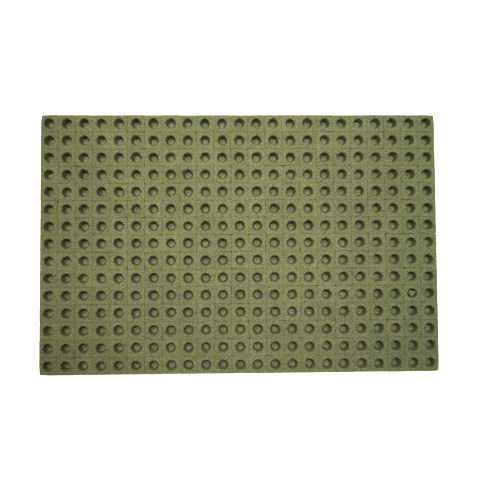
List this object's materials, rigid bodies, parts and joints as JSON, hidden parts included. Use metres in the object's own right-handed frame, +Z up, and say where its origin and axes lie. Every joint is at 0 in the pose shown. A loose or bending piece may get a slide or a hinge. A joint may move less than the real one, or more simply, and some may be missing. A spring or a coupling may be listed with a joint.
{
  "type": "propagation foam sheet",
  "caption": "Rigid foam seedling sheet, scored into square snap-off plugs with a tapered seed hole in each.",
  "frame": {"origin": "middle of the sheet's underside", "axes": "+X along the long side, across the columns of plugs; +Y along the short side, across the rows; +Z up, out of the seed holes"},
  "size_m": [0.4598, 0.2998, 0.02],
  "materials": {
    "foam": "dry, fully matte, fine open-cell phenolic foam, olive green"
  },
  "bodies": {
    "left_plug_01": {"left_plug_01": "foam"},
    "left_plug_02": {"left_plug_02": "foam"},
    "left_plug_03": {"left_plug_03": "foam"},
    "left_plug_04": {"left_plug_04": "foam"},
    "left_plug_05": {"left_plug_05": "foam"},
    "left_plug_06": {"left_plug_06": "foam"},
    "left_plug_07": {"left_plug_07": "foam"},
    "left_plug_08": {"left_plug_08": "foam"},
    "left_plug_09": {"left_plug_09": "foam"},
    "left_plug_10": {"left_plug_10": "foam"},
    "left_plug_11": {"left_plug_11": "foam"},
    "left_plug_12": {"left_plug_12": "foam"},
    "left_plug_13": {"left_plug_13": "foam"},
    "left_plug_14": {"left_plug_14": "foam"},
    "left_plug_15": {"left_plug_15": "foam"},
    "right_plug_01": {"right_plug_01": "foam"},
    "right_plug_02": {"right_plug_02": "foam"},
    "right_plug_03": {"right_plug_03": "foam"},
    "right_plug_04": {"right_plug_04": "foam"},
    "right_plug_05": {"right_plug_05": "foam"},
    "right_plug_06": {"right_plug_06": "foam"},
    "right_plug_07": {"right_plug_07": "foam"},
    "right_plug_08": {"right_plug_08": "foam"},
    "right_plug_09": {"right_plug_09": "foam"},
    "right_plug_10": {"right_plug_10": "foam"},
    "right_plug_11": {"right_plug_11": "foam"},
    "right_plug_12": {"right_plug_12": "foam"},
    "right_plug_13": {"right_plug_13": "foam"},
    "right_plug_14": {"right_plug_14": "foam"},
    "right_plug_15": {"right_plug_15": "foam"},
    "strip_02": {"strip_02": "foam"},
    "strip_03": {"strip_03": "foam"},
    "strip_04": {"strip_04": "foam"},
    "strip_05": {"strip_05": "foam"},
    "strip_06": {"strip_06": "foam"},
    "strip_07": {"strip_07": "foam"},
    "strip_08": {"strip_08": "foam"},
    "strip_09": {"strip_09": "foam"},
    "strip_10": {"strip_10": "foam"},
    "strip_11": {"strip_11": "foam"},
    "strip_12": {"strip_12": "foam"},
    "strip_13": {"strip_13": "foam"},
    "strip_14": {"strip_14": "foam"},
    "strip_15": {"strip_15": "foam"},
    "strip_16": {"strip_16": "foam"},
    "strip_17": {"strip_17": "foam"},
    "strip_18": {"strip_18": "foam"},
    "strip_19": {"strip_19": "foam"},
    "strip_20": {"strip_20": "foam"},
    "strip_21": {"strip_21": "foam"},
    "strip_22": {"strip_22": "foam"}
  },
  "joints": [
    {"name": "lift_left_plug_01", "type": "slide", "parent": "strip_12", "child": "left_plug_01", "axis": [0, 0, 1], "range_m": [0, 0.03]},
    {"name": "lift_left_plug_02", "type": "slide", "parent": "strip_12", "child": "left_plug_02", "axis": [0, 0, 1], "range_m": [0, 0.03]},
    {"name": "lift_left_plug_03", "type": "slide", "parent": "strip_12", "child": "left_plug_03", "axis": [0, 0, 1], "range_m": [0, 0.03]},
    {"name": "lift_left_plug_04", "type": "slide", "parent": "strip_12", "child": "left_plug_04", "axis": [0, 0, 1], "range_m": [0, 0.03]},
    {"name": "lift_left_plug_05", "type": "slide", "parent": "strip_12", "child": "left_plug_05", "axis": [0, 0, 1], "range_m": [0, 0.03]},
    {"name": "lift_left_plug_06", "type": "slide", "parent": "strip_12", "child": "left_plug_06", "axis": [0, 0, 1], "range_m": [0, 0.03]},
    {"name": "lift_left_plug_07", "type": "slide", "parent": "strip_12", "child": "left_plug_07", "axis": [0, 0, 1], "range_m": [0, 0.03]},
    {"name": "lift_left_plug_08", "type": "slide", "parent": "strip_12", "child": "left_plug_08", "axis": [0, 0, 1], "range_m": [0, 0.03]},
    {"name": "lift_left_plug_09", "type": "slide", "parent": "strip_12", "child": "left_plug_09", "axis": [0, 0, 1], "range_m": [0, 0.03]},
    {"name": "lift_left_plug_10", "type": "slide", "parent": "strip_12", "child": "left_plug_10", "axis": [0, 0, 1], "range_m": [0, 0.03]},
    {"name": "lift_left_plug_11", "type": "slide", "parent": "strip_12", "child": "left_plug_11", "axis": [0, 0, 1], "range_m": [0, 0.03]},
    {"name": "lift_left_plug_12", "type": "slide", "parent": "strip_12", "child": "left_plug_12", "axis": [0, 0, 1], "range_m": [0, 0.03]},
    {"name": "lift_left_plug_13", "type": "slide", "parent": "strip_12", "child": "left_plug_13", "axis": [0, 0, 1], "range_m": [0, 0.03]},
    {"name": "lift_left_plug_14", "type": "slide", "parent": "strip_12", "child": "left_plug_14", "axis": [0, 0, 1], "range_m": [0, 0.03]},
    {"name": "lift_left_plug_15", "type": "slide", "parent": "strip_12", "child": "left_plug_15", "axis": [0, 0, 1], "range_m": [0, 0.03]},
    {"name": "lift_right_plug_01", "type": "slide", "parent": "strip_12", "child": "right_plug_01", "axis": [0, 0, 1], "range_m": [0, 0.03]},
    {"name": "lift_right_plug_02", "type": "slide", "parent": "strip_12", "child": "right_plug_02", "axis": [0, 0, 1], "range_m": [0, 0.03]},
    {"name": "lift_right_plug_03", "type": "slide", "parent": "strip_12", "child": "right_plug_03", "axis": [0, 0, 1], "range_m": [0, 0.03]},
    {"name": "lift_right_plug_04", "type": "slide", "parent": "strip_12", "child": "right_plug_04", "axis": [0, 0, 1], "range_m": [0, 0.03]},
    {"name": "lift_right_plug_05", "type": "slide", "parent": "strip_12", "child": "right_plug_05", "axis": [0, 0, 1], "range_m": [0, 0.03]},
    {"name": "lift_right_plug_06", "type": "slide", "parent": "strip_12", "child": "right_plug_06", "axis": [0, 0, 1], "range_m": [0, 0.03]},
    {"name": "lift_right_plug_07", "type": "slide", "parent": "strip_12", "child": "right_plug_07", "axis": [0, 0, 1], "range_m": [0, 0.03]},
    {"name": "lift_right_plug_08", "type": "slide", "parent": "strip_12", "child": "right_plug_08", "axis": [0, 0, 1], "range_m": [0, 0.03]},
    {"name": "lift_right_plug_09", "type": "slide", "parent": "strip_12", "child": "right_plug_09", "axis": [0, 0, 1], "range_m": [0, 0.03]},
    {"name": "lift_right_plug_10", "type": "slide", "parent": "strip_12", "child": "right_plug_10", "axis": [0, 0, 1], "range_m": [0, 0.03]},
    {"name": "lift_right_plug_11", "type": "slide", "parent": "strip_12", "child": "right_plug_11", "axis": [0, 0, 1], "range_m": [0, 0.03]},
    {"name": "lift_right_plug_12", "type": "slide", "parent": "strip_12", "child": "right_plug_12", "axis": [0, 0, 1], "range_m": [0, 0.03]},
    {"name": "lift_right_plug_13", "type": "slide", "parent": "strip_12", "child": "right_plug_13", "axis": [0, 0, 1], "range_m": [0, 0.03]},
    {"name": "lift_right_plug_14", "type": "slide", "parent": "strip_12", "child": "right_plug_14", "axis": [0, 0, 1], "range_m": [0, 0.03]},
    {"name": "lift_right_plug_15", "type": "slide", "parent": "strip_12", "child": "right_plug_15", "axis": [0, 0, 1], "range_m": [0, 0.03]},
    {"name": "lift_strip_02", "type": "slide", "parent": "strip_12", "child": "strip_02", "axis": [0, 0, 1], "range_m": [0, 0.03]},
    {"name": "lift_strip_03", "type": "slide", "parent": "strip_12", "child": "strip_03", "axis": [0, 0, 1], "range_m": [0, 0.03]},
    {"name": "lift_strip_04", "type": "slide", "parent": "strip_12", "child": "strip_04", "axis": [0, 0, 1], "range_m": [0, 0.03]},
    {"name": "lift_strip_05", "type": "slide", "parent": "strip_12", "child": "strip_05", "axis": [0, 0, 1], "range_m": [0, 0.03]},
    {"name": "lift_strip_06", "type": "slide", "parent": "strip_12", "child": "strip_06", "axis": [0, 0, 1], "range_m": [0, 0.03]},
    {"name": "lift_strip_07", "type": "slide", "parent": "strip_12", "child": "strip_07", "axis": [0, 0, 1], "range_m": [0, 0.03]},
    {"name": "lift_strip_08", "type": "slide", "parent": "strip_12", "child": "strip_08", "axis": [0, 0, 1], "range_m": [0, 0.03]},
    {"name": "lift_strip_09", "type": "slide", "parent": "strip_12", "child": "strip_09", "axis": [0, 0, 1], "range_m": [0, 0.03]},
    {"name": "lift_strip_10", "type": "slide", "parent": "strip_12", "child": "strip_10", "axis": [0, 0, 1], "range_m": [0, 0.03]},
    {"name": "lift_strip_11", "type": "slide", "parent": "strip_12", "child": "strip_11", "axis": [0, 0, 1], "range_m": [0, 0.03]},
    {"name": "lift_strip_13", "type": "slide", "parent": "strip_12", "child": "strip_13", "axis": [0, 0, 1], "range_m": [0, 0.03]},
    {"name": "lift_strip_14", "type": "slide", "parent": "strip_12", "child": "strip_14", "axis": [0, 0, 1], "range_m": [0, 0.03]},
    {"name": "lift_strip_15", "type": "slide", "parent": "strip_12", "child": "strip_15", "axis": [0, 0, 1], "range_m": [0, 0.03]},
    {"name": "lift_strip_16", "type": "slide", "parent": "strip_12", "child": "strip_16", "axis": [0, 0, 1], "range_m": [0, 0.03]},
    {"name": "lift_strip_17", "type": "slide", "parent": "strip_12", "child": "strip_17", "axis": [0, 0, 1], "range_m": [0, 0.03]},
    {"name": "lift_strip_18", "type": "slide", "parent": "strip_12", "child": "strip_18", "axis": [0, 0, 1], "range_m": [0, 0.03]},
    {"name": "lift_strip_19", "type": "slide", "parent": "strip_12", "child": "strip_19", "axis": [0, 0, 1], "range_m": [0, 0.03]},
    {"name": "lift_strip_20", "type": "slide", "parent": "strip_12", "child": "strip_20", "axis": [0, 0, 1], "range_m": [0, 0.03]},
    {"name": "lift_strip_21", "type": "slide", "parent": "strip_12", "child": "strip_21", "axis": [0, 0, 1], "range_m": [0, 0.03]},
    {"name": "lift_strip_22", "type": "slide", "parent": "strip_12", "child": "strip_22", "axis": [0, 0, 1], "range_m": [0, 0.03]}
  ]
}
